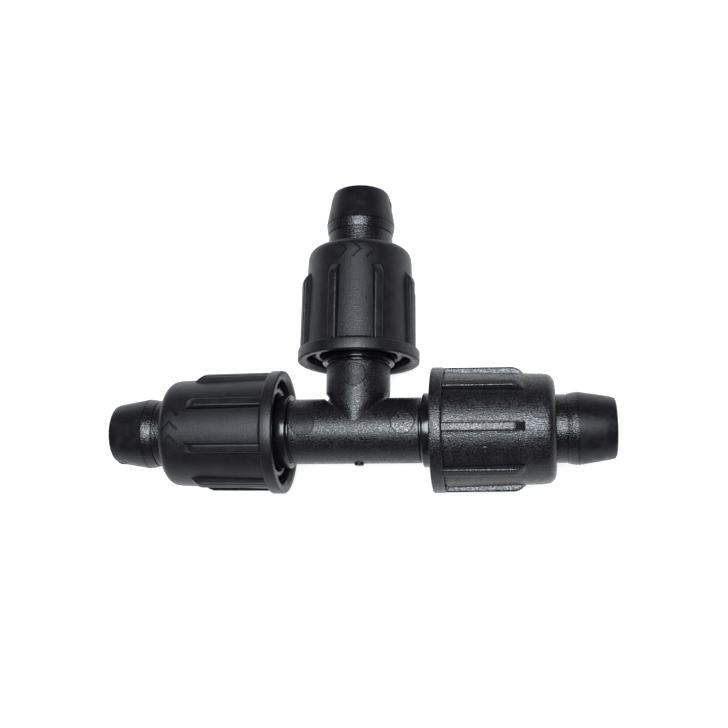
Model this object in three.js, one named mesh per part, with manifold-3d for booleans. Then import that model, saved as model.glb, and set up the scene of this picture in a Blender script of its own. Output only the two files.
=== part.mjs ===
// Barbed tee fitting for half-inch drip tubing, with a screw-on grip nut on each arm.
// Units are millimetres and +Z is up. The tee lies flat: the run is along X, the branch points to +Y.
// The origin is under the middle of the bounding box, on the surface that the nuts lie on.
// Each arm is drawn standing on its own axis, local +Y, with a = 0 where the three axes cross, and is
// then turned into place. Angles around an arm start at the top (+Z) and grow towards local +X.

import * as THREE from 'three';
import { mergeVertices } from 'three/addons/utils/BufferGeometryUtils.js';
import Module from 'manifold-3d';

// ---------- driving dimensions ----------

// The tubing that the fitting is made for.
const TUBE_INNER_R = 7.62;
const TUBE_WALL = 1.27;

// Tee moulding.
const RUN_BARREL_STEP = 0.99;
const BRANCH_BARREL_STEP = 1.07;
const TIP_WALL = 1.65;
const BORE_LEAD_IN = 0.25;
const RELIEF_WIDTH = 0.45;
const RELIEF_DEPTH = 0.5;
const COLLAR_LENGTH = 5.0;
const COLLAR_EDGE = 0.3;
const NECK_STRETCH = 0.42;
const NECK_PAST_NUT = 4.8;
const BARB_BACK_LENGTH = 2.7;
const BARB_STRETCH = 0.98;
const CONE_LENGTH = 8.7;
const TIP_TAPER_IN = 0.6;
const TIP_ROUND = 0.9;
const GATE_R = 1.2;
const GATE_PROUD = 0.6;
const GATE_SINK = 1.0;

// Nut shell.
const NUT_LENGTH = 28.6;
const FLANGE_PROUD = 1.24;
const FLANGE_WIDTH = 3.0;
const FLANGE_EDGE = 0.35;
const FLANGE_BACK_EDGE = 0.6;
const SHELL_DRAFT = 0.86;
const SHELL_WALL = 1.15;
const SHOULDER_ROUND = 2.3;
const END_WALL = 2.4;
const MOUTH_CHAMFER = 0.35;
const RIB_COUNT = 8;
const RIB_WIDTH = 2.1;
const RIB_HEIGHT = 1.0;
const RIB_HEIGHT_GAIN = 0.55;
const RIB_STOPS_SHORT = 7.0;
const RIB_NOSE = 2.3;

// Grip sleeve inside the nut shell.
const SLEEVE_WALL = 0.9;
const SLEEVE_RECESS = 1.6;
const SLEEVE_BELL = 0.45;
const GRIP_PITCH = 2.5;
const GRIP_TURNS = 5;
const GRIP_DEPTH = 0.6;
const GRIP_FLANK = 0.4;
const LUG_COUNT = 16;
const LUG_WIDTH = 2.1;
const LUG_BEHIND_FACE = 0.9;
const LUG_END_HEIGHT = 0.76;
const LUG_STOPS_SHORT = 7.9;
const LUG_ROOT_SINK = 0.3;

// Clearances.
const TUBE_CLEARANCE = 0.3;
const SLEEVE_TO_SHELL = 0.3;
const SLEEVE_END_GAP = 0.5;
const RUN_NUT_TO_BRANCH_AXIS = 1.05;
const BRANCH_NUT_TO_RUN_NUTS = 1.5;

// Roundness of the solids.
const TURN_SEGMENTS = 48;
const ROUND_STEPS = 3;

// ---------- sizes that follow from them ----------

// Barbs and bore.
const TUBE_OUTER_R = TUBE_INNER_R + TUBE_WALL;
const NECK_R = TUBE_INNER_R + NECK_STRETCH;
const BARB_R = TUBE_INNER_R + BARB_STRETCH;
const TIP_R = TUBE_INNER_R - TIP_TAPER_IN;
const BORE_R = TIP_R - TIP_WALL;
const TIP_EDGE = Math.min(TIP_ROUND, TIP_WALL - 2 * BORE_LEAD_IN);
const NECK_LENGTH = NUT_LENGTH - COLLAR_LENGTH + NECK_PAST_NUT;
const BARB_LENGTH = COLLAR_LENGTH + NECK_LENGTH + BARB_BACK_LENGTH + CONE_LENGTH;

// Nuts, from the grip outwards.
const GRIP_R = Math.max(TUBE_OUTER_R, BARB_R) + TUBE_CLEARANCE;
const GRIP_ROOT_R = GRIP_R + GRIP_DEPTH;
const SLEEVE_R = GRIP_ROOT_R + SLEEVE_WALL;
const SLEEVE_END = NUT_LENGTH - END_WALL - SLEEVE_END_GAP;
const LUG_END = SLEEVE_END - LUG_STOPS_SHORT;
const SHELL_SHOULDER_R = SLEEVE_R + LUG_END_HEIGHT + SLEEVE_TO_SHELL + SHELL_WALL;
const SHELL_MOUTH_R = SHELL_SHOULDER_R + SHELL_DRAFT;
const SHOULDER_EDGE = Math.min(SHOULDER_ROUND, SHELL_SHOULDER_R - GRIP_R - BORE_LEAD_IN);
const FLANGE_R = SHELL_MOUTH_R + FLANGE_PROUD;
const RIB_END = NUT_LENGTH - RIB_STOPS_SHORT;

// Outer and inner radius of the nut shell, and the height of the lugs, at a distance s from the mouth.
const shellSlope = SHELL_DRAFT / (NUT_LENGTH - FLANGE_WIDTH);
const shellR = (s) => SHELL_MOUTH_R - shellSlope * Math.max(0, s - FLANGE_WIDTH);
const cavityR = (s) => shellR(s) - SHELL_WALL;
const lugR = (s) => cavityR(s) - SLEEVE_TO_SHELL;

// The collars stand far enough out for the three nuts to clear each other when they are screwed home.
const RUN_BARREL_R = TUBE_OUTER_R - RUN_BARREL_STEP;
const BRANCH_BARREL_R = TUBE_OUTER_R - BRANCH_BARREL_STEP;
const RUN_COLLAR_START = FLANGE_R + RUN_NUT_TO_BRANCH_AXIS;
const BRANCH_COLLAR_START = FLANGE_R + BRANCH_NUT_TO_RUN_NUTS;

// The tee's width across the branch direction, from the run nuts' flanges to the branch tip.
const SPAN_Y = FLANGE_R + BRANCH_COLLAR_START + BARB_LENGTH;

// Where each arm points, where its collar starts, and how its nut sits at rest:
// how far it is backed off the collar, and the angle of its first rib.
const ARMS = [
  { name: 'left', heading: 90, collarStart: RUN_COLLAR_START, barrelR: RUN_BARREL_R, backedOff: 1.85, ribAngle: 20.4 },
  { name: 'right', heading: -90, collarStart: RUN_COLLAR_START, barrelR: RUN_BARREL_R, backedOff: 2.35, ribAngle: 7.2 },
  { name: 'branch', heading: 0, collarStart: BRANCH_COLLAR_START, barrelR: BRANCH_BARREL_R, backedOff: 0.4,
    ribAngle: 27.5 },
];

// ---------- shapes ----------

const wasm = await Module();
wasm.setup();

// A closed geometry as a solid that can be joined and cut.
function solidOf(geometry) {
  const bare = geometry.clone();
  bare.deleteAttribute('normal');
  bare.deleteAttribute('uv');
  const merged = mergeVertices(bare, 1e-4);
  return new wasm.Manifold(new wasm.Mesh({
    numProp: 3,
    vertProperties: new Float32Array(merged.attributes.position.array),
    triVerts: new Uint32Array(merged.index.array),
  }));
}

// A solid back as a geometry for a mesh.
function geometryOf(solid) {
  const mesh = solid.getMesh();
  const geometry = new THREE.BufferGeometry();
  geometry.setAttribute('position', new THREE.BufferAttribute(new Float32Array(mesh.vertProperties), 3));
  geometry.setIndex(new THREE.BufferAttribute(new Uint32Array(mesh.triVerts), 1));
  geometry.computeVertexNormals();
  return geometry;
}

// A turned solid from an outline of [distance along the axis, radius] points.
// The outline starts and ends on the axis or closes on itself, and runs along +Y on its outer side.
function turned(outline) {
  const points = outline.map(([along, radius]) => new THREE.Vector2(radius, along));
  return solidOf(new THREE.LatheGeometry(points, TURN_SEGMENTS));
}

// A quarter round from one outline point to the next, bulging away from its centre.
function quarterRound(centreAlong, centreR, radius, fromDegrees, toDegrees) {
  const points = [];
  for (let i = 0; i <= ROUND_STEPS; i += 1) {
    const angle = THREE.MathUtils.degToRad(fromDegrees + (toDegrees - fromDegrees) * i / ROUND_STEPS);
    points.push([centreAlong + radius * Math.sin(angle), centreR + radius * Math.cos(angle)]);
  }
  return points;
}

// A flat plate standing on the axis: its outline is in [along, radius], its width is across the axis,
// and it is turned by an angle around the axis.
function standingPlate(outline, width, degrees) {
  const shape = new THREE.Shape(outline.map(([along, radius]) => new THREE.Vector2(radius, along)));
  const geometry = new THREE.ExtrudeGeometry(shape, { depth: width, bevelEnabled: false });
  geometry.translate(0, 0, -width / 2);
  geometry.rotateY(THREE.MathUtils.degToRad(degrees - 90));
  return solidOf(geometry);
}

// ---------- tee moulding ----------

function armOutline(arm) {
  const collar = arm.collarStart;
  const neckStart = collar + COLLAR_LENGTH;
  const barbStart = neckStart + NECK_LENGTH;
  const barbTop = barbStart + BARB_BACK_LENGTH;
  const tip = barbTop + CONE_LENGTH;
  return [
    [0, 0],
    [0, arm.barrelR],
    [collar - RELIEF_WIDTH, arm.barrelR],
    [collar - RELIEF_WIDTH, arm.barrelR - RELIEF_DEPTH],
    [collar, arm.barrelR - RELIEF_DEPTH],
    [collar, TUBE_OUTER_R - COLLAR_EDGE],
    [collar + COLLAR_EDGE, TUBE_OUTER_R],
    [neckStart - COLLAR_EDGE, TUBE_OUTER_R],
    [neckStart, TUBE_OUTER_R - COLLAR_EDGE],
    [neckStart, NECK_R],
    [barbStart, NECK_R],
    [barbTop, BARB_R],
    ...quarterRound(tip - TIP_EDGE, TIP_R - TIP_EDGE, TIP_EDGE, 10, 90),
    [tip, 0],
  ];
}

function boreOutline(arm) {
  const tip = arm.collarStart + BARB_LENGTH;
  return [
    [0, 0],
    [0, BORE_R],
    [tip - BORE_LEAD_IN, BORE_R],
    [tip + BORE_LEAD_IN, BORE_R + 2 * BORE_LEAD_IN],
    [tip + BORE_LEAD_IN, 0],
  ];
}

// The stub left where the plastic was fed in, on the side of the run away from the branch.
function gateStub() {
  const bottom = -RUN_BARREL_R - GATE_PROUD;
  return turned([
    [bottom, 0],
    [bottom, GATE_R],
    [-RUN_BARREL_R + GATE_SINK, GATE_R],
    [-RUN_BARREL_R + GATE_SINK, 0],
  ]);
}

function teeBody() {
  const pointed = ARMS.map((arm) => ({
    outside: turned(armOutline(arm)).rotate([0, 0, arm.heading]),
    bore: turned(boreOutline(arm)).rotate([0, 0, arm.heading]),
  }));
  const outside = pointed.reduce((joined, arm) => joined.add(arm.outside), gateStub());
  return geometryOf(pointed.reduce((left, arm) => left.subtract(arm.bore), outside));
}

// ---------- grip nuts, drawn with s = 0 at the mouth ----------

function shellOutline() {
  const end = NUT_LENGTH;
  const inside = end - END_WALL;
  const chamferEnd = MOUTH_CHAMFER;
  return [
    [0, cavityR(0) + MOUTH_CHAMFER],
    [0, FLANGE_R - FLANGE_EDGE],
    [FLANGE_EDGE, FLANGE_R],
    [FLANGE_WIDTH - FLANGE_BACK_EDGE, FLANGE_R],
    [FLANGE_WIDTH, FLANGE_R - FLANGE_BACK_EDGE],
    [FLANGE_WIDTH, SHELL_MOUTH_R],
    ...quarterRound(end - SHOULDER_EDGE, SHELL_SHOULDER_R - SHOULDER_EDGE, SHOULDER_EDGE, 0, 90),
    [end, GRIP_R],
    [inside, GRIP_R],
    [inside, cavityR(inside)],
    [chamferEnd, cavityR(chamferEnd)],
    [0, cavityR(0) + MOUTH_CHAMFER],
  ];
}

// One rib: sunk into the shell, flush with the flange's edge at the mouth end, with a sloping nose.
function ribOutline() {
  const bottom = (s) => shellR(s) - SHELL_WALL / 2;
  const top = (s) => shellR(s) + RIB_HEIGHT + RIB_HEIGHT_GAIN * s / RIB_END;
  const start = FLANGE_WIDTH / 2;
  return [
    [start, bottom(start)],
    [start, top(start)],
    [RIB_END - RIB_NOSE, top(RIB_END - RIB_NOSE)],
    [RIB_END, shellR(RIB_END)],
    [RIB_END, bottom(RIB_END)],
  ];
}

function nutShell(arm) {
  let shell = turned(shellOutline());
  for (let i = 0; i < RIB_COUNT; i += 1) {
    shell = shell.add(standingPlate(ribOutline(), RIB_WIDTH, arm.ribAngle + i * 360 / RIB_COUNT));
  }
  return geometryOf(shell);
}

// The grip ridges, from the mouth end towards the small end. Each is a saw tooth that leans to the mouth:
// a steep flank down to the root, then a long slope back up to the crest.
function gripOutline() {
  const points = [];
  const length = SLEEVE_END - SLEEVE_RECESS;
  const first = SLEEVE_RECESS + (length - GRIP_PITCH * GRIP_TURNS) / 2;
  for (let i = 0; i < GRIP_TURNS; i += 1) {
    const crest = first + i * GRIP_PITCH;
    points.push([crest, GRIP_R]);
    points.push([crest + GRIP_FLANK, GRIP_ROOT_R]);
  }
  points.push([first + GRIP_TURNS * GRIP_PITCH, GRIP_R]);
  return points;
}

function sleeveOutline() {
  return [
    [SLEEVE_RECESS, GRIP_R + SLEEVE_BELL],
    [SLEEVE_RECESS, SLEEVE_R],
    [SLEEVE_END, SLEEVE_R],
    [SLEEVE_END, GRIP_R],
    ...gripOutline().reverse(),
    [SLEEVE_RECESS + SLEEVE_BELL, GRIP_R],
    [SLEEVE_RECESS, GRIP_R + SLEEVE_BELL],
  ];
}

function gripSleeve(arm) {
  const lugStart = SLEEVE_RECESS + LUG_BEHIND_FACE;
  const lug = [
    [lugStart, SLEEVE_R - LUG_ROOT_SINK],
    [lugStart, lugR(lugStart)],
    [LUG_END, lugR(LUG_END)],
    [LUG_END, SLEEVE_R - LUG_ROOT_SINK],
  ];
  let sleeve = turned(sleeveOutline());
  for (let i = 0; i < LUG_COUNT; i += 1) {
    sleeve = sleeve.add(standingPlate(lug, LUG_WIDTH, arm.ribAngle + (i + 0.5) * 360 / LUG_COUNT));
  }
  return geometryOf(sleeve);
}

// ---------- the assembly ----------

function plastic(color, roughness) {
  return new THREE.MeshStandardMaterial({ color, roughness, metalness: 0 });
}

function namedMesh(name, geometry, material) {
  const mesh = new THREE.Mesh(geometry, material);
  mesh.name = name;
  return mesh;
}

const tee = new THREE.Group();
tee.position.set(0, FLANGE_R - SPAN_Y / 2, FLANGE_R);
tee.add(namedMesh('tee_body', teeBody(), plastic(0x1b1b1d, 0.45)));

for (const arm of ARMS) {
  const armGroup = new THREE.Group();
  armGroup.rotation.z = THREE.MathUtils.degToRad(arm.heading);
  const nut = new THREE.Group();
  nut.position.y = arm.collarStart + arm.backedOff;
  nut.add(namedMesh(`${arm.name}_nut_shell`, nutShell(arm), plastic(0x202022, 0.6)));
  nut.add(namedMesh(`${arm.name}_grip_sleeve`, gripSleeve(arm), plastic(0x1a1a1b, 0.4)));
  armGroup.add(nut);
  tee.add(armGroup);
}

const part = new THREE.Group();
part.add(tee);

export default part;
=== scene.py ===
"""Looks of the barbed tee fitting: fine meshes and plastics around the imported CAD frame.

Sizes in this file are millimetres until a mesh is made; mesh_object() turns them into metres.
Each arm is drawn in its own coordinates: `along` is the distance from the point where the three axes
cross, and angles around an arm start at the top (+Z).
"""
import math

import bmesh
import bpy
from mathutils import Euler, Matrix, Vector


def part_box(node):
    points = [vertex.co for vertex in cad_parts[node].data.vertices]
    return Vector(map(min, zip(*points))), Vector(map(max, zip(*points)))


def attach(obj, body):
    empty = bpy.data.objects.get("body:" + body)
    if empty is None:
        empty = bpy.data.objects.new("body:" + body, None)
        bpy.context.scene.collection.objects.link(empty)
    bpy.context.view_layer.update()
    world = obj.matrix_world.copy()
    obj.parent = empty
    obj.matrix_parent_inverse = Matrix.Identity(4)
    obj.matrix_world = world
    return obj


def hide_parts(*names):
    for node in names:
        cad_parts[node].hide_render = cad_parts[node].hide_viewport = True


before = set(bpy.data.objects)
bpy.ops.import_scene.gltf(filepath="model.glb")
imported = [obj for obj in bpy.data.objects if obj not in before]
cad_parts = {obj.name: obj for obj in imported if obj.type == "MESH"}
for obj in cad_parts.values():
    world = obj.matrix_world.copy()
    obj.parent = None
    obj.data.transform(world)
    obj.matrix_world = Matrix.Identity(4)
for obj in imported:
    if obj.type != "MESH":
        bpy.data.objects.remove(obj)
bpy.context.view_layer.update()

MM = 0.001

# How far the fine surface stays inside the CAD solids where they reach furthest out, in millimetres.
FLANGE_INSET = 0.004
TIP_INSET = 0.003
END_INSET = 0.002

# ---------------------------------------------------------------- places, from the frame

def node_box(name):
    """Lowest and highest corner of a CAD node, in millimetres."""
    low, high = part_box(name)
    return low / MM, high / MM


RUN_LOW, RUN_HIGH = node_box("left_nut_shell")
TEE_LOW, TEE_HIGH = node_box("tee_body")
CENTRE = Vector((0.0, (RUN_LOW.y + RUN_HIGH.y) / 2, (RUN_LOW.z + RUN_HIGH.z) / 2))
FLANGE_R = (RUN_HIGH.z - RUN_LOW.z) / 2 - FLANGE_INSET
NUT_LENGTH = RUN_HIGH.x - RUN_LOW.x
MOUTHS = {
    "left": -RUN_HIGH.x,
    "right": node_box("right_nut_shell")[0].x,
    "branch": node_box("branch_nut_shell")[0].y - CENTRE.y,
}
TIPS = {
    "left": -TEE_LOW.x,
    "right": TEE_HIGH.x,
    "branch": TEE_HIGH.y - CENTRE.y,
}
# Turn about Z that points an arm's own +Y outwards, in degrees.
HEADINGS = {"left": 90, "right": -90, "branch": 0}

# ---------------------------------------------------------------- driving sizes

RUN_BARREL_R = 7.9
BRANCH_BARREL_R = 7.82
BARREL_END_ROUND = 0.18
CROSSING_BLEND = 0.28
BORE_R = 5.38
BRANCH_BORE_R = 5.3
BORE_BLEND = 0.3
BORE_CHAMFER = 0.35

COLLAR_R = 8.89
COLLAR_LENGTH = 5.0
COLLAR_INNER_ROUND = 0.42
COLLAR_OUTER_ROUND = 0.25
COLLAR_GROOVE_R = 8.25
RELIEF_WIDTH = 0.45
RELIEF_R = 7.4
RELIEF_ROUND = 0.1

BARB_ARM_LENGTH = 44.8
NECK_R = 8.03
NECK_ROOT_ROUND = 0.2
BARB_BACK_LENGTH = 2.7
BARB_R = 8.57
CONE_LENGTH = 8.7
CONE_SWELL = 0.12
TIP_R = 7.12
TIP_ROUND = 0.72
TIP_FACE_R = 5.68
TIP_FACE_ROUND = 0.12

FLANGE_WIDTH = 3.0
FLANGE_FRONT_ROUND = 0.32
FLANGE_BACK_ROUND = 0.55
SHELL_MOUTH_R = 13.76
SHELL_SHOULDER_R = 12.9
SHELL_WALL = 1.15
SHOULDER_ROUND = 2.3
END_WALL = 2.4
ENTRY_R = 9.19
MOUTH_CHAMFER = 0.75
RIB_COUNT = 8
RIB_HALF_WIDTH = 1.05
RIB_TOP_MOUTH_R = 14.83
RIB_TOP_NOSE_R = 14.68
RIB_END = 21.6
RIB_NOSE = 2.9
ROOT_GROOVE = 0.34
GROOVE_STOPS_SHORT = 0.3
# Turn of the first rib from the top of each nut, in degrees.
RIB_ANGLES = {"left": 20.4, "right": 7.2, "branch": 27.5}

GRIP_R = 9.19
GRIP_DEPTH = 0.6
GRIP_PITCH = 2.5
SLEEVE_R = 10.69
SLEEVE_RECESS = 1.6
SLEEVE_END_GAP = 0.5
SLEEVE_MOUTH_ROUND = 0.12
SLEEVE_END_ROUND = 0.3
BELL_LENGTH = 0.9
BELL_DEPTH = 0.55
LUG_COUNT = 16
LUG_WIDTH = 2.1
LUG_EDGE = 0.2
LUG_START = 2.15
LUG_END = 17.7
LUG_TO_SHELL = 0.36

# ---------------------------------------------------------------- mesh helpers


class Skin:
    """Vertices in millimetres, with faces that carry the index of their finish."""

    def __init__(self):
        self.points = []
        self.faces = []
        self.finishes = []

    def point(self, x, y, z):
        self.points.append(Vector((x, y, z)))
        return len(self.points) - 1

    def ring(self, points):
        return [self.point(*p) for p in points]

    def face(self, indices, finish, flip=False):
        self.faces.append(tuple(reversed(indices)) if flip else tuple(indices))
        self.finishes.append(finish)

    def bridge(self, first, second, finish, flip=False):
        """Quads between two closed rings of the same count."""
        count = len(first)
        for i in range(count):
            j = (i + 1) % count
            self.face((first[i], first[j], second[j], second[i]), finish, flip)

    def turned(self, matrix):
        self.points = [matrix @ p for p in self.points]
        return self

    def join(self, other):
        base = len(self.points)
        self.points.extend(other.points)
        self.faces.extend(tuple(base + i for i in face) for face in other.faces)
        self.finishes.extend(other.finishes)


SHARP_DEGREES = 38


def mark_sharp(mesh):
    """Smooth shading everywhere but along edges that turn more than SHARP_DEGREES."""
    work = bmesh.new()
    work.from_mesh(mesh)
    bmesh.ops.recalc_face_normals(work, faces=work.faces)
    limit = math.radians(SHARP_DEGREES)
    for face in work.faces:
        face.smooth = True
    for edge in work.edges:
        edge.smooth = len(edge.link_faces) == 2 and edge.calc_face_angle(0.0) < limit
    work.to_mesh(mesh)
    work.free()


def mesh_object(name, skin, materials, body, node):
    """Makes a piece from a skin: it rides on the body and stands in for the CAD node."""
    mesh = bpy.data.meshes.new(name)
    mesh.from_pydata([(p + CENTRE) * MM for p in skin.points], [], skin.faces)
    for material in materials:
        mesh.materials.append(material)
    mesh.polygons.foreach_set("material_index", skin.finishes)
    mark_sharp(mesh)
    obj = bpy.data.objects.new(name, mesh)
    bpy.context.scene.collection.objects.link(obj)
    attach(obj, body)
    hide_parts(node)
    return obj


def rounded(along, radius, size, start, stop, steps):
    """Outline points that round off the sharp corner at (along, radius) of an outline.

    The angles are in degrees, from the radial direction towards the tip.
    """
    middle = math.radians((start + stop) / 2)
    centre_along = along - math.copysign(size, math.sin(middle))
    centre_r = radius - math.copysign(size, math.cos(middle))
    points = []
    for i in range(steps + 1):
        angle = math.radians(start + (stop - start) * i / steps)
        points.append((centre_along + size * math.sin(angle), centre_r + size * math.cos(angle)))
    return points


def shifted(along, radius, offsets):
    """Outline points at small offsets from (along, radius)."""
    return [(along + step, radius + rise) for step, rise in offsets]


def heading_matrix(name):
    return Matrix.Rotation(math.radians(HEADINGS[name]), 4, "Z")


def nut_matrix(name):
    """From a nut's own coordinates, with its mouth at zero and its first rib on top, to the tee's."""
    ribs = Matrix.Rotation(math.radians(RIB_ANGLES[name]), 4, "Y")
    return heading_matrix(name) @ Matrix.Translation((0, MOUTHS[name], 0)) @ ribs


# ---------------------------------------------------------------- tee moulding

GRAIN, POLISHED, NECK, SATIN, BORE, BRIGHT_PAD, DULL_PAD = range(7)
TEE_STEPS = 72
BARREL_COLUMNS = 8
BLEND_STEPS = 5
NECK_STEPS = 8
CONE_STEPS = 6

# Angles of the close steps across the parting line, and the gap they fill, in radians.
PARTING_OFFSETS = (-0.026, -0.012, 0.0, 0.012, 0.026)
PARTING_GAP = 0.03

# Fine relief of the outline as (along, radius) offsets: the groove in the collar's back face, the one at
# the foot of the barb, the swell up to the barb, the groove behind its crest, and the crest itself.
COLLAR_GROOVE = ((0.0, -0.15), (0.1, -0.07), (0.1, 0.07), (0.0, 0.15))
BARB_FOOT_GROOVE = ((-0.5, 0.0), (-0.08, 0.03), (0.0, -0.2), (0.16, -0.2), (0.24, 0.1))
BARB_SWELL = ((1.3, 0.1),)
BARB_CREST_GROOVE = ((-0.34, -0.04), (-0.24, -0.16), (-0.1, -0.16))
BARB_CREST = ((0.0, 0.0), (0.16, -0.02))

# Where the drawn outlines start: the barrel's, back from its end, and the bore's, out from the crossing.
BARREL_LAST_RING = 0.8
BORE_FIRST_RING = 12.0
BORE_LAST_RING = 14.0


def with_parting_line(angles, middle):
    """The angles, with close steps across the parting line in place of those next to it."""
    kept = [a for a in angles if abs(a - middle) > PARTING_GAP]
    return sorted(kept + [middle + offset for offset in PARTING_OFFSETS])


def upper_angles():
    """Angles over the branch side of a section."""
    return with_parting_line([math.pi * i / TEE_STEPS for i in range(TEE_STEPS + 1)], math.pi / 2)


def lower_angles(edge):
    """Angles around the run's far side, from one edge of the crossing to the other."""
    sweep = 2 * math.pi - 2 * edge
    even = [-edge - sweep * i / TEE_STEPS for i in range(1, TEE_STEPS)]
    return with_parting_line(even, -math.pi)[::-1]


def arm_outline(name):
    """Outline of an arm from barrel to tip: (along, radius, finish of the face that follows)."""
    tip = TIPS[name] - TIP_INSET
    collar = tip - BARB_ARM_LENGTH
    neck = collar + COLLAR_LENGTH
    barb = tip - CONE_LENGTH
    barb_foot = barb - BARB_BACK_LENGTH
    barrel_r = BRANCH_BARREL_R if name == "branch" else RUN_BARREL_R
    barrel_end = collar - RELIEF_WIDTH
    outline = []

    def add(points, finish):
        outline.extend((along, radius, finish) for along, radius in points)

    add([(barrel_end - BARREL_LAST_RING, barrel_r)], GRAIN)
    add(rounded(barrel_end, barrel_r, BARREL_END_ROUND, 0, 90, 3), POLISHED)
    add(rounded(barrel_end, RELIEF_R, RELIEF_ROUND, -90, -180, 2), POLISHED)
    add(rounded(collar, RELIEF_R, RELIEF_ROUND, 180, 90, 2), POLISHED)
    add(shifted(collar, COLLAR_GROOVE_R, COLLAR_GROOVE), POLISHED)
    add(rounded(collar, COLLAR_R, COLLAR_INNER_ROUND, -90, 0, 5), POLISHED)
    add(rounded(neck, COLLAR_R, COLLAR_OUTER_ROUND, 0, 90, 3), POLISHED)
    add(rounded(neck, NECK_R, NECK_ROOT_ROUND, -90, -180, 3), NECK)
    add([(neck + (barb_foot - neck) * i / NECK_STEPS, NECK_R) for i in range(1, NECK_STEPS)], NECK)
    add(shifted(barb_foot, NECK_R, BARB_FOOT_GROOVE), NECK)
    add(shifted(barb_foot, (NECK_R + BARB_R) / 2, BARB_SWELL), NECK)
    add(shifted(barb, BARB_R, BARB_CREST_GROOVE), NECK)
    add(shifted(barb, BARB_R, BARB_CREST), SATIN)
    for i in range(1, CONE_STEPS):
        part = i / CONE_STEPS
        radius = BARB_R + (TIP_R - BARB_R) * part + CONE_SWELL * part * (1 - part)
        add([(barb + CONE_LENGTH * part, radius)], SATIN)
    add(rounded(tip, TIP_R, TIP_ROUND, 14, 90, 6), SATIN)
    add([(tip, TIP_FACE_R + 2 * TIP_FACE_ROUND)], SATIN)
    add(rounded(tip, TIP_FACE_R, TIP_FACE_ROUND, -270, -180, 3), SATIN)
    return outline


def bore_outline(name):
    """Outline of an arm's bore, up to the chamfer at its mouth."""
    radius = BRANCH_BORE_R if name == "branch" else BORE_R
    places = (BORE_FIRST_RING, TIPS[name] - BORE_LAST_RING, TIPS[name] - BORE_CHAMFER)
    return [(along, radius, BORE) for along in places]


class Crossing:
    """A run and a branch that meet in a rolled corner, each arm continued along its outline.

    The branch is a little thinner than the run, so the corner never closes up at the top and
    bottom of the crossing.
    """

    def __init__(self, skin, run_r, branch_r, blend, outlines, flip):
        self.skin = skin
        self.run_r = run_r
        self.branch_r = branch_r
        self.blend = blend
        self.run_ball = run_r + blend
        self.branch_ball = branch_r + blend
        self.outlines = outlines
        self.flip = flip
        self.angles = upper_angles()
        self.last = len(self.angles) - 1
        heights = [run_r * self.branch_ball / self.run_ball * math.cos(a) for a in self.angles]
        upper = [math.atan2(z, math.sqrt(run_r ** 2 - z ** 2)) for z in heights]
        self.section = upper + lower_angles(upper[0])

    def run_ring(self, name, k, shared):
        """Ring k of the barrel towards one end of the run, with some points shared with another ring."""
        side = -1 if name == "left" else 1
        end = self.outlines[name][0][0]
        ring = []
        for j, angle in enumerate(self.section):
            if j in shared:
                ring.append(shared[j])
                continue
            start = self.branch_ball * math.sin(self.angles[j]) if j <= self.last else 0.0
            x = side * (start + (end - start) * k / BARREL_COLUMNS)
            ring.append(self.skin.point(x, self.run_r * math.cos(angle), self.run_r * math.sin(angle)))
        return ring

    def run_arm(self, name, ring):
        """Continues the run from its first ring to the end of the arm."""
        outline = self.outlines[name]
        turn = self.flip if name == "right" else not self.flip
        for k in range(1, BARREL_COLUMNS + 1):
            following = self.run_ring(name, k, {})
            self.skin.bridge(ring, following, outline[0][2], turn)
            ring = following
        for before, (along, radius, _) in zip(outline, outline[1:]):
            x = -along if name == "left" else along
            points = [(x, radius * math.cos(a), radius * math.sin(a)) for a in self.section]
            following = self.skin.ring(points)
            self.skin.bridge(ring, following, before[2], turn)
            ring = following
        return ring

    def corner(self, around, ring):
        """Rolls from the run onto the branch; returns the last ring and its points."""
        foot = []
        for step in range(1, BLEND_STEPS + 1):
            foot = []
            for a in around:
                centre = Vector((self.branch_ball * math.sin(a), 0, self.branch_ball * math.cos(a)))
                centre.y = math.sqrt(self.run_ball ** 2 - centre.z ** 2)
                to_run = Vector((0, -centre.y, -centre.z)) * (self.blend / self.run_ball)
                to_branch = Vector((-centre.x, 0, -centre.z)) * (self.blend / self.branch_ball)
                foot.append(centre + to_run.slerp(to_branch, step / BLEND_STEPS))
            following = self.skin.ring(foot)
            self.skin.bridge(ring, following, self.outlines["branch"][0][2], not self.flip)
            ring = following
        return ring, foot

    def branch_arm(self, around, ring, foot):
        """Continues the branch from its foot to the end of the arm."""
        outline = self.outlines["branch"]
        end = outline[0][0]
        for k in range(1, BARREL_COLUMNS + 1):
            points = []
            for a, start in zip(around, foot):
                y = start.y + (end - start.y) * k / BARREL_COLUMNS
                points.append((self.branch_r * math.sin(a), y, self.branch_r * math.cos(a)))
            following = self.skin.ring(points)
            self.skin.bridge(ring, following, outline[0][2], not self.flip)
            ring = following
        for before, (along, radius, _) in zip(outline, outline[1:]):
            points = [(radius * math.sin(a), along, radius * math.cos(a)) for a in around]
            following = self.skin.ring(points)
            self.skin.bridge(ring, following, before[2], not self.flip)
            ring = following
        return ring

    def build(self):
        """Makes the surface; returns the last ring of each arm."""
        right = self.run_ring("right", 0, {})
        shared = {j: right[j] for j in range(len(right)) if j == 0 or j >= self.last}
        left = self.run_ring("left", 0, shared)
        rings = {"right": self.run_arm("right", right), "left": self.run_arm("left", left)}
        around = self.angles + [2 * math.pi - a for a in reversed(self.angles[1:-1])]
        count = len(around)
        ring = [right[i] if i <= self.last else left[count - i] for i in range(count)]
        ring, foot = self.corner(around, ring)
        rings["branch"] = self.branch_arm(around, ring, foot)
        return rings


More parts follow.
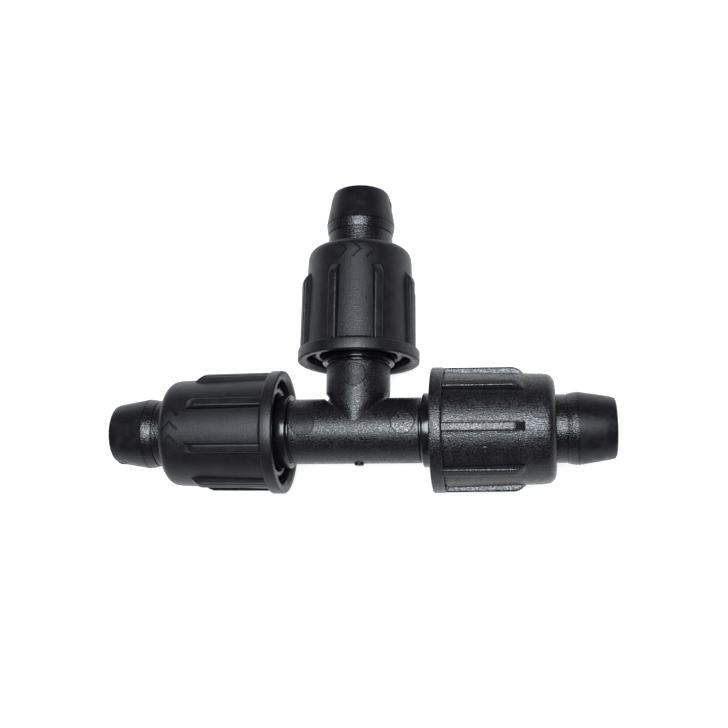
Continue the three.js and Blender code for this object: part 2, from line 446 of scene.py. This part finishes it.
# Parting flash: its height on the barrels and on the barbs, its width, and the gaps it leaves at the
# crossing, at the tips and on both sides of a collar, in millimetres.
BARREL_FLASH = 0.03
BARB_FLASH = 0.07
FLASH_HALF_WIDTH = 0.11
FLASH_OFF_CROSSING = 1.5
FLASH_OFF_TIP = 0.2
FLASH_OFF_COLLAR = 0.5
# Small ears of flash at the mould's corners: (arm, side of the arm's axis, start and end measured back
# from the tip, height).
EARS = (
    ("left", 1, 0.6, 2.3, 0.32),
    ("left", -1, 0.5, 1.5, 0.25),
    ("right", 1, 8.7, 9.6, 0.26),
    ("right", -1, 0.4, 1.0, 0.12),
    ("branch", 1, 1.9, 3.3, 0.26),
    ("branch", -1, 4.8, 5.6, 0.12),
)


def flash_height(name, side, from_tip):
    """Height of the flash at a place on an arm, in millimetres."""
    for arm, ear_side, start, stop, height in EARS:
        if arm == name and ear_side == side and start <= from_tip <= stop:
            return height
    collar_start = BARB_ARM_LENGTH + FLASH_OFF_COLLAR
    collar_end = BARB_ARM_LENGTH - COLLAR_LENGTH - FLASH_OFF_COLLAR
    if collar_end < from_tip < collar_start:
        return 0.0
    return BARREL_FLASH if from_tip > BARB_ARM_LENGTH else BARB_FLASH


def raise_flash(skin):
    """Pushes the vertices that lie on the mould's parting plane outwards."""
    for p in skin.points:
        if abs(p.z) > 3 * FLASH_HALF_WIDTH:
            continue
        if abs(p.x) > abs(p.y):
            name = "left" if p.x < 0 else "right"
            along, across, axis = abs(p.x), p.y, 1
        else:
            name, along, across, axis = "branch", p.y, p.x, 0
        from_tip = TIPS[name] - along
        if along < RUN_BARREL_R + FLASH_OFF_CROSSING or from_tip < FLASH_OFF_TIP:
            continue
        side = 1 if across > 0 else -1
        p[axis] += side * flash_height(name, side, from_tip) * math.exp(-(p.z / FLASH_HALF_WIDTH) ** 2)


# Witness of each ejector pin: (arm, distance along it, turn from the top in degrees, finish).
EJECTOR_MARKS = (
    ("left", 12.05, 4.1, DULL_PAD),
    ("right", 11.75, -5.5, BRIGHT_PAD),
    ("branch", 12.45, 0.9, DULL_PAD),
)
# Its section from the edge to the middle: (radius, height above the barrel). The first steps are the lip.
EJECTOR_SECTION = (
    (2.96, -0.05), (2.842, 0.15), (2.764, 0.15), (2.66, 0.015), (1.9272, 0.0225), (0.9636, 0.0225),
)
EJECTOR_LIP_FACES = 3
EJECTOR_ROOT = 0.25
EJECTOR_STEPS = 40


def ejector_mark(skin, name, along, degrees, finish):
    """The witness of an ejector pin: a low round pad with a raised lip, wrapped on the barrel."""
    barrel_r = BRANCH_BARREL_R if name == "branch" else RUN_BARREL_R
    middle = math.radians(degrees)
    pad = Skin()
    rings = []
    for r, height in EJECTOR_SECTION:
        points = []
        for i in range(EJECTOR_STEPS):
            a = 2 * math.pi * i / EJECTOR_STEPS
            around = middle + r * math.cos(a) / barrel_r
            y = along + r * math.sin(a)
            points.append(((barrel_r + height) * math.sin(around), y, (barrel_r + height) * math.cos(around)))
        rings.append(pad.ring(points))
    for k, (first, second) in enumerate(zip(rings, rings[1:])):
        pad.bridge(first, second, SATIN if k < EJECTOR_LIP_FACES else finish)
    top = barrel_r + EJECTOR_SECTION[-1][1]
    hub = pad.point(top * math.sin(middle), along, top * math.cos(middle))
    deep = barrel_r - EJECTOR_ROOT
    under = pad.point(deep * math.sin(middle), along, deep * math.cos(middle))
    for i in range(EJECTOR_STEPS):
        j = (i + 1) % EJECTOR_STEPS
        pad.face((rings[-1][i], rings[-1][j], hub), finish)
        pad.face((rings[0][j], rings[0][i], under), finish)
    pad.turned(heading_matrix(name))
    skin.join(pad)


# The gate stub: its place along the run, and its section as (radius, height outside the barrel).
GATE_STUB_X = 0.53
GATE_STUB_SECTION = ((1.3225, -0.9), (1.2075, -0.05), (1.15, 0.35), (1.0, 0.5))
GATE_STUB_STEPS = 24


def gate_stub(skin):
    """The stub left where the plastic was fed in, on the run's side away from the branch."""
    stub = Skin()
    rings = []
    for r, height in GATE_STUB_SECTION:
        points = []
        for i in range(GATE_STUB_STEPS):
            a = 2 * math.pi * i / GATE_STUB_STEPS
            points.append((GATE_STUB_X + r * math.sin(a), -RUN_BARREL_R - height, r * math.cos(a)))
        rings.append(stub.ring(points))
    for first, second in zip(rings, rings[1:]):
        stub.bridge(first, second, SATIN)
    stub.face(rings[-1], SATIN)
    stub.face(rings[0], GRAIN, flip=True)
    skin.join(stub)


def tee_body(materials):
    skin = Skin()
    arms = {name: arm_outline(name) for name in TIPS}
    bores = {name: bore_outline(name) for name in TIPS}
    outer = Crossing(skin, RUN_BARREL_R, BRANCH_BARREL_R, CROSSING_BLEND, arms, False).build()
    raise_flash(skin)
    inner = Crossing(skin, BORE_R, BRANCH_BORE_R, BORE_BLEND, bores, True).build()
    for name in TIPS:
        skin.bridge(outer[name], inner[name], BORE, name != "right")
    for name, along, degrees, finish in EJECTOR_MARKS:
        ejector_mark(skin, name, along, degrees, finish)
    gate_stub(skin)
    return mesh_object("tee_moulding", skin, materials, "tee", "tee_body")


# ---------------------------------------------------------------- nut shells

SHELL_GRAIN, SHELL_SMOOTH = range(2)
RIB_STEPS = 12
NOSE_STEPS = 12

# Section across half a rib. First the points on its top, then (distance out from its side, share of its
# height), all in millimetres. A share of -1 is the narrow groove along the rib's root.
RIB_TOP_OFFSETS = (0.0, 0.45)
RIB_SIDE = (
    (-0.3, 1.0), (-0.14, 0.95), (-0.03, 0.82), (0.0, 0.65), (0.04, 0.0),
    (0.06, -1.0), (0.34, -1.0), (0.42, 0.0),
    (0.7, 0.0), (1.1, 0.0), (1.8, 0.0), (2.6, 0.0), (3.4, 0.0),
)
# How the nose falls: 1 is a straight slope, more keeps it high for longer.
NOSE_POWER = 1.9

# Fine steps of the shell's outline as (s, radius) offsets: behind the flange, around the entry for the
# tube, in the inner corner of the end wall, and at the mouth's chamfer.
FLANGE_GROOVE = ((0.001, -ROOT_GROOVE), (0.24, -ROOT_GROOVE), (0.36, 0.0))
ENTRY_LAND = ((0.0, 0.62),)
ENTRY_EDGE = ((0.0, 0.22), (-0.05, 0.16), (-0.2, 0.0))
END_WALL_CORNER = 0.4
CHAMFER_INNER = ((0.1, 0.0), (0.0, 0.03))


def shell_r(s):
    """Radius of the bare shell's tapered wall."""
    slope = (SHELL_MOUTH_R - SHELL_SHOULDER_R) / (NUT_LENGTH - FLANGE_WIDTH)
    return SHELL_MOUTH_R - slope * max(0.0, s - FLANGE_WIDTH)


def cavity_r(s):
    return shell_r(s) - SHELL_WALL


def surface_r(s):
    """Outer radius of the bare shell, with its rounded shoulder."""
    into_round = s - (NUT_LENGTH - SHOULDER_ROUND)
    if into_round <= 0:
        return shell_r(s)
    drop = SHOULDER_ROUND - math.sqrt(max(0.0, SHOULDER_ROUND ** 2 - into_round ** 2))
    return SHELL_SHOULDER_R - drop


def rib_top_r(s):
    """Radius of a rib's top along the nut, with its rounded nose."""
    top = RIB_TOP_MOUTH_R + (RIB_TOP_NOSE_R - RIB_TOP_MOUTH_R) * s / RIB_END
    into_nose = (s - (RIB_END - RIB_NOSE)) / RIB_NOSE
    if into_nose <= 0:
        return top
    return top + (shell_r(s) - top) * min(1.0, into_nose) ** NOSE_POWER


def shell_directions():
    """(angle, share of the rib's height) all around a shell, with the first rib at zero."""
    pitch = 2 * math.pi / RIB_COUNT
    samples = [(offset, 1.0) for offset in RIB_TOP_OFFSETS]
    samples += [(RIB_HALF_WIDTH + step, share) for step, share in RIB_SIDE]
    half = [(offset / SHELL_MOUTH_R, share) for offset, share in samples]
    half = [(a, share) for a, share in half if a < pitch / 2 - 0.01]
    one = [(-a, share) for a, share in reversed(half[1:])] + half + [(pitch / 2, 0.0)]
    return [(k * pitch + a, share) for k in range(RIB_COUNT) for a, share in one]


def shell_outline():
    """(s, radius, carries ribs, finish of the face that follows) once around the shell's wall."""
    end = NUT_LENGTH - END_INSET
    inside = end - END_WALL
    nose = RIB_END - RIB_NOSE
    ribs_from = FLANGE_WIDTH + 0.7
    rows = []

    def add(points, finish, ribs=False):
        rows.extend((s, r, ribs, finish) for s, r in points)

    def add_wall(places, ribs=False):
        add([(s, shell_r(s)) for s in places], SHELL_GRAIN, ribs)

    def add_cavity(places):
        add([(s, cavity_r(s)) for s in places], SHELL_SMOOTH)

    add(rounded(0.0, FLANGE_R, FLANGE_FRONT_ROUND, -90, 0, 4), SHELL_GRAIN)
    add([(FLANGE_WIDTH / 2, FLANGE_R)], SHELL_GRAIN)
    add(rounded(FLANGE_WIDTH, FLANGE_R, FLANGE_BACK_ROUND, 0, 90, 5), SHELL_GRAIN)
    add([(FLANGE_WIDTH, SHELL_MOUTH_R + 0.3)], SHELL_GRAIN)
    add(shifted(FLANGE_WIDTH, shell_r(FLANGE_WIDTH), FLANGE_GROOVE), SHELL_GRAIN, ribs=True)
    add_wall([ribs_from + (nose - ribs_from) * i / RIB_STEPS for i in range(RIB_STEPS + 1)], ribs=True)
    add_wall([nose + RIB_NOSE * i / NOSE_STEPS for i in range(1, NOSE_STEPS + 1)], ribs=True)
    add_wall([RIB_END + 0.1, RIB_END + 1.2, RIB_END + 2.6, end - SHOULDER_ROUND - 0.6])
    add(rounded(end, SHELL_SHOULDER_R, SHOULDER_ROUND, 3, 90, 9), SHELL_GRAIN)
    add(shifted(end, ENTRY_R, ENTRY_LAND), SHELL_GRAIN)
    add(shifted(end, ENTRY_R, ENTRY_EDGE), SHELL_SMOOTH)
    add([(inside, ENTRY_R), (inside, cavity_r(inside) - END_WALL_CORNER)], SHELL_SMOOTH)
    add_cavity([inside - END_WALL_CORNER, (inside + MOUTH_CHAMFER) / 2, MOUTH_CHAMFER + 2.0])
    mouth = cavity_r(0)
    add(shifted(MOUTH_CHAMFER, mouth, CHAMFER_INNER), SHELL_SMOOTH)
    add([(0.1, mouth + MOUTH_CHAMFER - 0.05), (0.0, mouth + MOUTH_CHAMFER + 0.1)], SHELL_GRAIN)
    return rows


def ribbed_r(s, radius, share):
    """Radius of the shell's outside at a place with this share of a rib's height."""
    if share > 0:
        return shell_r(s) + (rib_top_r(s) - shell_r(s)) * share
    if share < 0:
        depth = ROOT_GROOVE if s < RIB_END - GROOVE_STOPS_SHORT else 0.0
        return min(radius, shell_r(s) - depth)
    return radius


def nut_shell(name, materials):
    skin = Skin()
    directions = shell_directions()
    outline = shell_outline()
    rings = []
    for s, radius, ribs, _ in outline:
        points = []
        for angle, share in directions:
            r = ribbed_r(s, radius, share) if ribs else radius
            points.append((r * math.sin(angle), s, r * math.cos(angle)))
        rings.append(skin.ring(points))
    for i, row in enumerate(outline):
        skin.bridge(rings[i], rings[(i + 1) % len(rings)], row[3])
    for mark in shell_marks(name):
        skin.join(mark)
    skin.turned(nut_matrix(name))
    return mesh_object(f"{name}_nut", skin, materials, f"{name}_shell", f"{name}_nut_shell")


# Section of a raised line: (side in widths, share of its height). Its two feet are sunk in the shell.
STRIP_SECTION = ((-0.62, 0.0), (-0.5, 0.6), (-0.3, 1.0), (0.3, 1.0), (0.5, 0.6), (0.62, 0.0))
STRIP_FOOT = -0.12


def raised_strip(path, width, height, closed=False):
    """A raised line moulded on the shell. Path points are (s, distance around the shell) in millimetres."""
    strip = Skin()
    rings = []
    count = len(path)
    for i, (s, u) in enumerate(path):
        before = path[i - 1] if i or closed else path[i]
        after = path[(i + 1) % count] if i + 1 < count or closed else path[i]
        ds, du = after[0] - before[0], after[1] - before[1]
        length = math.hypot(ds, du)
        row = []
        for side, share in STRIP_SECTION:
            ss = s - du / length * side * width
            uu = u + ds / length * side * width
            r = surface_r(ss) + (height * share or STRIP_FOOT)
            angle = uu / shell_r(ss)
            row.append(strip.point(r * math.sin(angle), ss, r * math.cos(angle)))
        rings.append(row)
    pairs = list(zip(rings, rings[1:]))
    if closed:
        pairs.append((rings[-1], rings[0]))
    for first, second in pairs:
        strip.bridge(first, second, SHELL_SMOOTH)
    if not closed:
        strip.face(rings[0], SHELL_SMOOTH)
        strip.face(rings[-1], SHELL_SMOOTH, flip=True)
    return strip


# Turn of the moulded signs around each nut, in degrees from the nut's first rib.
MARK_TURNS = {"left": 0.0, "right": -135.0, "branch": 0.0}

# Each sign's place along the nut in millimetres and around it in degrees, then its sizes in millimetres.
CHEVRON_S, CHEVRON_TURN = 25.2, -22.5
CHEVRON_PITCH = 3.4
CHEVRON_HALF_LENGTH = 2.0
CHEVRON_HALF_SPREAD = 1.0
CHEVRON_WIDTH, CHEVRON_HEIGHT = 0.6, 0.36

BAR_S, BAR_TURN = 25.0, 148.0
BAR_PITCH = 1.7
LONG_BAR_HALF, SHORT_BAR_HALF = 1.5, 0.9
BAR_WIDTH, BAR_HEIGHT = 0.55, 0.34

GATE_S, GATE_TURN = 12.6, 157.5
GATE_RINGS = ((1.35, 0.4), (0.45, 0.7))
GATE_HEIGHT = 0.24
GATE_STEPS = 28


def around_shell(name, degrees, radius):
    """Distance around a shell from its first rib to a sign."""
    return math.radians(degrees + MARK_TURNS[name]) * radius


def shell_marks(name):
    """Plain moulded signs: three chevrons, a row of bars, and the round scar of a gate."""
    marks = []
    chevrons_u = around_shell(name, CHEVRON_TURN, SHELL_SHOULDER_R)
    for k in (-1, 0, 1):
        u = chevrons_u + CHEVRON_PITCH * k
        path = [
            (CHEVRON_S - CHEVRON_HALF_LENGTH, u - CHEVRON_HALF_SPREAD),
            (CHEVRON_S, u + CHEVRON_HALF_SPREAD),
            (CHEVRON_S + CHEVRON_HALF_LENGTH, u - CHEVRON_HALF_SPREAD),
        ]
        marks.append(raised_strip(path, CHEVRON_WIDTH, CHEVRON_HEIGHT))
    bars_u = around_shell(name, BAR_TURN, SHELL_SHOULDER_R)
    for k in range(-3, 4):
        half = LONG_BAR_HALF if k % 3 == 0 else SHORT_BAR_HALF
        u = bars_u + BAR_PITCH * k
        marks.append(raised_strip([(BAR_S - half, u), (BAR_S + half, u)], BAR_WIDTH, BAR_HEIGHT))
    gate_u = around_shell(name, GATE_TURN, shell_r(GATE_S))
    for radius, width in GATE_RINGS:
        ring = []
        for i in range(GATE_STEPS):
            a = 2 * math.pi * i / GATE_STEPS
            ring.append((GATE_S + radius * math.cos(a), gate_u + radius * math.sin(a)))
        marks.append(raised_strip(ring, width, GATE_HEIGHT, closed=True))
    return marks


# ---------------------------------------------------------------- grip sleeves

# Shares of the grip thread's pitch that its crest and its steep flank take.
CREST_SHARE = 0.12
FLANK_SHARE = 0.14
GRIP_ROWS_PER_TURN = 12


def grip_radius(along, angle):
    """The left-hand buttress thread: a steep flank facing the mouth and a long slope behind it."""
    phase = (along / GRIP_PITCH + angle / (2 * math.pi)) % 1.0
    root = CREST_SHARE + FLANK_SHARE
    if phase < CREST_SHARE:
        return GRIP_R
    if phase < root:
        return GRIP_R + GRIP_DEPTH * (phase - CREST_SHARE) / FLANK_SHARE
    return GRIP_R + GRIP_DEPTH * (1 - (phase - root) / (1 - root))


def lug_directions():
    """(angle, share of the lug's height) all around a sleeve."""
    pitch = 2 * math.pi / LUG_COUNT
    half = LUG_WIDTH / 2 / SLEEVE_R
    edge = LUG_EDGE / SLEEVE_R
    foot = half + 0.25 * edge
    one = [(-foot, 0.0), (-half, 0.85), (-half + edge, 1.0), (0.0, 1.0)]
    one += [(half - edge, 1.0), (half, 0.85), (foot, 0.0), (pitch / 2, 0.0)]
    return [((k + 0.5) * pitch + a, share) for k in range(LUG_COUNT) for a, share in one]


def grip_sleeve(name, materials):
    """The sleeve's outside carries a ring of lugs; its bore carries the grip thread."""
    start = SLEEVE_RECESS
    end = NUT_LENGTH - END_WALL - SLEEVE_END_GAP
    directions = lug_directions()
    skin = Skin()
    rings = []

    def outside(s, radius, lugs=0.0):
        rise = (cavity_r(max(s, FLANGE_WIDTH)) - LUG_TO_SHELL - radius) * lugs
        radii = [radius + rise * share for _, share in directions]
        rings.append(skin.ring((r * math.sin(a), s, r * math.cos(a)) for r, (a, _) in zip(radii, directions)))

    def bore(s):
        bell_r = GRIP_R + BELL_DEPTH * max(0.0, 1 - (s - start) / BELL_LENGTH)
        radii = [max(grip_radius(s, a), bell_r) for a, _ in directions]
        rings.append(skin.ring((r * math.sin(a), s, r * math.cos(a)) for r, (a, _) in zip(radii, directions)))

    outside(start, SLEEVE_R - SLEEVE_MOUTH_ROUND)
    outside(start + SLEEVE_MOUTH_ROUND, SLEEVE_R)
    outside(LUG_START - 0.001, SLEEVE_R)
    outside(LUG_START, SLEEVE_R, lugs=0.8)
    for s in (LUG_START + 0.2, LUG_START + 4.0, LUG_END - 0.1):
        outside(s, SLEEVE_R, lugs=1.0)
    outside(LUG_END, SLEEVE_R, lugs=0.9)
    outside(LUG_END + 0.001, SLEEVE_R)
    outside(end - SLEEVE_END_ROUND, SLEEVE_R)
    outside(end, SLEEVE_R - SLEEVE_END_ROUND)
    rows = int((end - start) / GRIP_PITCH * GRIP_ROWS_PER_TURN)
    for i in range(rows + 1):
        bore(end - (end - start) * i / rows)
    for i in range(len(rings)):
        skin.bridge(rings[i], rings[(i + 1) % len(rings)], 0)
    skin.turned(nut_matrix(name))
    return mesh_object(
        f"{name}_sleeve", skin, materials, f"{name}_sleeve", f"{name}_grip_sleeve")


# ---------------------------------------------------------------- plastics


class Nodes:
    """A material's node tree with short ways to add and join nodes."""

    def __init__(self, name):
        self.material = bpy.data.materials.new(name)
        self.material.use_nodes = True
        self.tree = self.material.node_tree
        self.shader = self.tree.nodes["Principled BSDF"]
        self.position = self.add("ShaderNodeTexCoord").outputs["Object"]

    def add(self, kind, **settings):
        node = self.tree.nodes.new(kind)
        for key, value in settings.items():
            setattr(node, key, value)
        return node

    def link(self, source, target):
        self.tree.links.new(source, target)

    def noise(self, size_mm, detail=2.0, roughness=0.5):
        node = self.add("ShaderNodeTexNoise")
        node.inputs["Scale"].default_value = 1.0 / (size_mm * MM)
        node.inputs["Detail"].default_value = detail
        node.inputs["Roughness"].default_value = roughness
        self.link(self.position, node.inputs["Vector"])
        return node.outputs["Fac"]


    def spread(self, value, low, high, to_low, to_high):
        node = self.add("ShaderNodeMapRange")
        for key, number in (("From Min", low), ("From Max", high), ("To Min", to_low), ("To Max", to_high)):
            node.inputs[key].default_value = number
        self.link(value, node.inputs["Value"])
        return node.outputs["Result"]

    def blend_colour(self, value, dark, light):
        node = self.add("ShaderNodeMix", data_type="RGBA")
        node.inputs["A"].default_value = (*dark, 1)
        node.inputs["B"].default_value = (*light, 1)
        self.link(value, node.inputs["Factor"])
        return node.outputs["Result"]

    def total(self, *values):
        result = values[0]
        for value in values[1:]:
            node = self.add("ShaderNodeMath", operation="ADD")
            self.link(result, node.inputs[0])
            self.link(value, node.inputs[1])
            result = node.outputs[0]
        return result

    def bump(self, height, depth_mm):
        node = self.add("ShaderNodeBump")
        node.inputs["Distance"].default_value = depth_mm * MM
        node.inputs["Strength"].default_value = 1.0
        self.link(height, node.inputs["Height"])
        self.link(node.outputs["Normal"], self.shader.inputs["Normal"])


def plastic(n, dark, light):
    """Black, slightly uneven base colour."""
    patches = n.spread(n.noise(2.5, 4.0), 0.3, 0.7, 0.0, 1.0)
    n.link(n.blend_colour(patches, dark, light), n.shader.inputs["Base Color"])
    n.shader.inputs["IOR"].default_value = 1.5
    return n.material


def grained_plastic(name, grain_mm, depth_mm, roughness, sparkle, gloss, dark, light):
    """Black polypropylene from a spark-eroded mould: fine peaks that glint where the light falls.

    `sparkle` is how far the roughness swings from peak to hollow; `gloss` is the specular level.
    """
    n = Nodes(name)
    n.bump(n.noise(grain_mm, 1.5, 0.5), depth_mm)
    n.shader.inputs["Specular IOR Level"].default_value = gloss
    speckle = n.spread(n.noise(grain_mm * 1.25, 1.0), 0.38, 0.62, roughness - sparkle, roughness + sparkle)
    clouds = n.spread(n.noise(2.4, 3.0), 0.3, 0.7, -0.04, 0.05)
    n.link(n.total(speckle, clouds), n.shader.inputs["Roughness"])
    return plastic(n, dark, light)


def smooth_plastic(name, ripple_mm, depth_mm, roughness, gloss, dark, light):
    """Black plastic from a polished mould, with a slight ripple and uneven gloss."""
    n = Nodes(name)
    n.bump(n.noise(ripple_mm, 3.0, 0.55), depth_mm)
    wear = n.spread(n.noise(ripple_mm * 2.0, 3.0), 0.3, 0.7, roughness * 0.75, roughness * 1.3)
    n.link(wear, n.shader.inputs["Roughness"])
    n.shader.inputs["Specular IOR Level"].default_value = gloss
    return plastic(n, dark, light)


TEE = ((0.0028, 0.0025, 0.0036), (0.0060, 0.0054, 0.0070))
NUT = ((0.0030, 0.0027, 0.0038), (0.0064, 0.0058, 0.0076))

tee_plastics = [
    grained_plastic("barrel_grain", 0.30, 0.085, 0.33, 0.14, 0.34, *TEE),
    smooth_plastic("collar_polish", 1.2, 0.012, 0.18, 0.30, *TEE),
    grained_plastic("neck_gloss", 0.32, 0.10, 0.24, 0.10, 0.30, *TEE),
    smooth_plastic("cone_satin", 0.9, 0.03, 0.36, 0.22, *TEE),
    smooth_plastic("bore_satin", 1.5, 0.03, 0.4, 0.25, *TEE),
    grained_plastic("pad_bright", 0.36, 0.12, 0.34, 0.13, 0.50, *TEE),
    grained_plastic("pad_dull", 0.30, 0.08, 0.38, 0.12, 0.20, *TEE),
]
nut_finish = {
    "left": grained_plastic("nut_grain_left", 0.27, 0.055, 0.38, 0.06, 0.29, *NUT),
    "right": grained_plastic("nut_grain_right", 0.32, 0.095, 0.31, 0.14, 0.36, *NUT),
    "branch": grained_plastic("nut_grain_branch", 0.27, 0.06, 0.38, 0.06, 0.27, *NUT),
}
nut_smooth = smooth_plastic("nut_smooth", 0.8, 0.03, 0.32, 0.3, *NUT)
sleeve_smooth = smooth_plastic("sleeve_smooth", 0.9, 0.03, 0.26, 0.4, *NUT)

# ---------------------------------------------------------------- the object

tee_body(tee_plastics)
for arm in TIPS:
    nut_shell(arm, [nut_finish[arm], nut_smooth])
    grip_sleeve(arm, [sleeve_smooth])

# ---------------------------------------------------------------- stage, light and camera

FLOOR_HALF = 3.0
FLOOR_GREY = 0.25
FLOOR_GLOW = 0.8

WALL_LIGHT = 0.35
CEILING_LIGHT = 0.03
CEILING_STARTS = 0.4

KEY_PLACE = (0.03, -0.03, 0.70)
KEY_SIZE = 0.42
KEY_POWER = 12.5
KEY_COLOUR = (0.86, 0.93, 1.0)

# Camera: lens and sensor width in millimetres, place from CENTRE in millimetres, and turn in radians.
LENS = 48.19
SENSOR_WIDTH = 36.0
CAMERA_PLACE = (38.2, -40.16, 230.01)
CAMERA_TURN = (0.2415, 0.1555, 0.0140)


def pale_floor():
    mesh = bpy.data.meshes.new("floor")
    h = FLOOR_HALF
    mesh.from_pydata([(-h, -h, 0), (h, -h, 0), (h, h, 0), (-h, h, 0)], [], [(0, 1, 2, 3)])
    material = bpy.data.materials.new("floor_white")
    material.use_nodes = True
    shader = material.node_tree.nodes["Principled BSDF"]
    shader.inputs["Base Color"].default_value = (FLOOR_GREY, FLOOR_GREY, FLOOR_GREY, 1)
    shader.inputs["Roughness"].default_value = 0.9
    shader.inputs["Emission Color"].default_value = (1, 1, 1, 1)
    shader.inputs["Emission Strength"].default_value = FLOOR_GLOW
    mesh.materials.append(material)
    obj = bpy.data.objects.new("floor", mesh)
    bpy.context.scene.collection.objects.link(obj)


def key_light():
    """One large round lamp above the tee, aimed at its middle."""
    light = bpy.data.lights.new("key", "AREA")
    light.shape = "DISK"
    light.size = KEY_SIZE
    light.energy = KEY_POWER
    light.color = KEY_COLOUR
    obj = bpy.data.objects.new("key", light)
    obj.location = KEY_PLACE
    obj.rotation_euler = (CENTRE * MM - Vector(KEY_PLACE)).to_track_quat("-Z", "Y").to_euler()
    bpy.context.scene.collection.objects.link(obj)


def studio_world():
    """Pale walls near the horizon that fade to a dark ceiling."""
    world = bpy.data.worlds.new("studio")
    world.use_nodes = True
    tree = world.node_tree
    direction = tree.nodes.new("ShaderNodeTexCoord")
    split = tree.nodes.new("ShaderNodeSeparateXYZ")
    fade = tree.nodes.new("ShaderNodeMapRange")
    fade.interpolation_type = "SMOOTHSTEP"
    fade.inputs["From Max"].default_value = CEILING_STARTS
    fade.inputs["To Min"].default_value = WALL_LIGHT
    fade.inputs["To Max"].default_value = CEILING_LIGHT
    tree.links.new(direction.outputs["Generated"], split.inputs[0])
    tree.links.new(split.outputs["Z"], fade.inputs["Value"])
    tree.links.new(fade.outputs["Result"], tree.nodes["Background"].inputs["Strength"])
    tree.nodes["Background"].inputs["Color"].default_value = (1.0, 1.0, 1.0, 1)
    bpy.context.scene.world = world


def photo_camera():
    """A camera above the tee and to the front right of it, about 23 cm away."""
    data = bpy.data.cameras.new("camera")
    data.sensor_width = SENSOR_WIDTH
    data.lens = LENS
    data.clip_start = 0.01
    obj = bpy.data.objects.new("camera", data)
    obj.location = (Vector(CAMERA_PLACE) + CENTRE) * MM
    obj.rotation_euler = Euler(CAMERA_TURN, "XYZ")
    bpy.context.scene.collection.objects.link(obj)
    bpy.context.scene.camera = obj


pale_floor()
studio_world()
key_light()
photo_camera()
bpy.context.scene.view_settings.view_transform = "Standard"
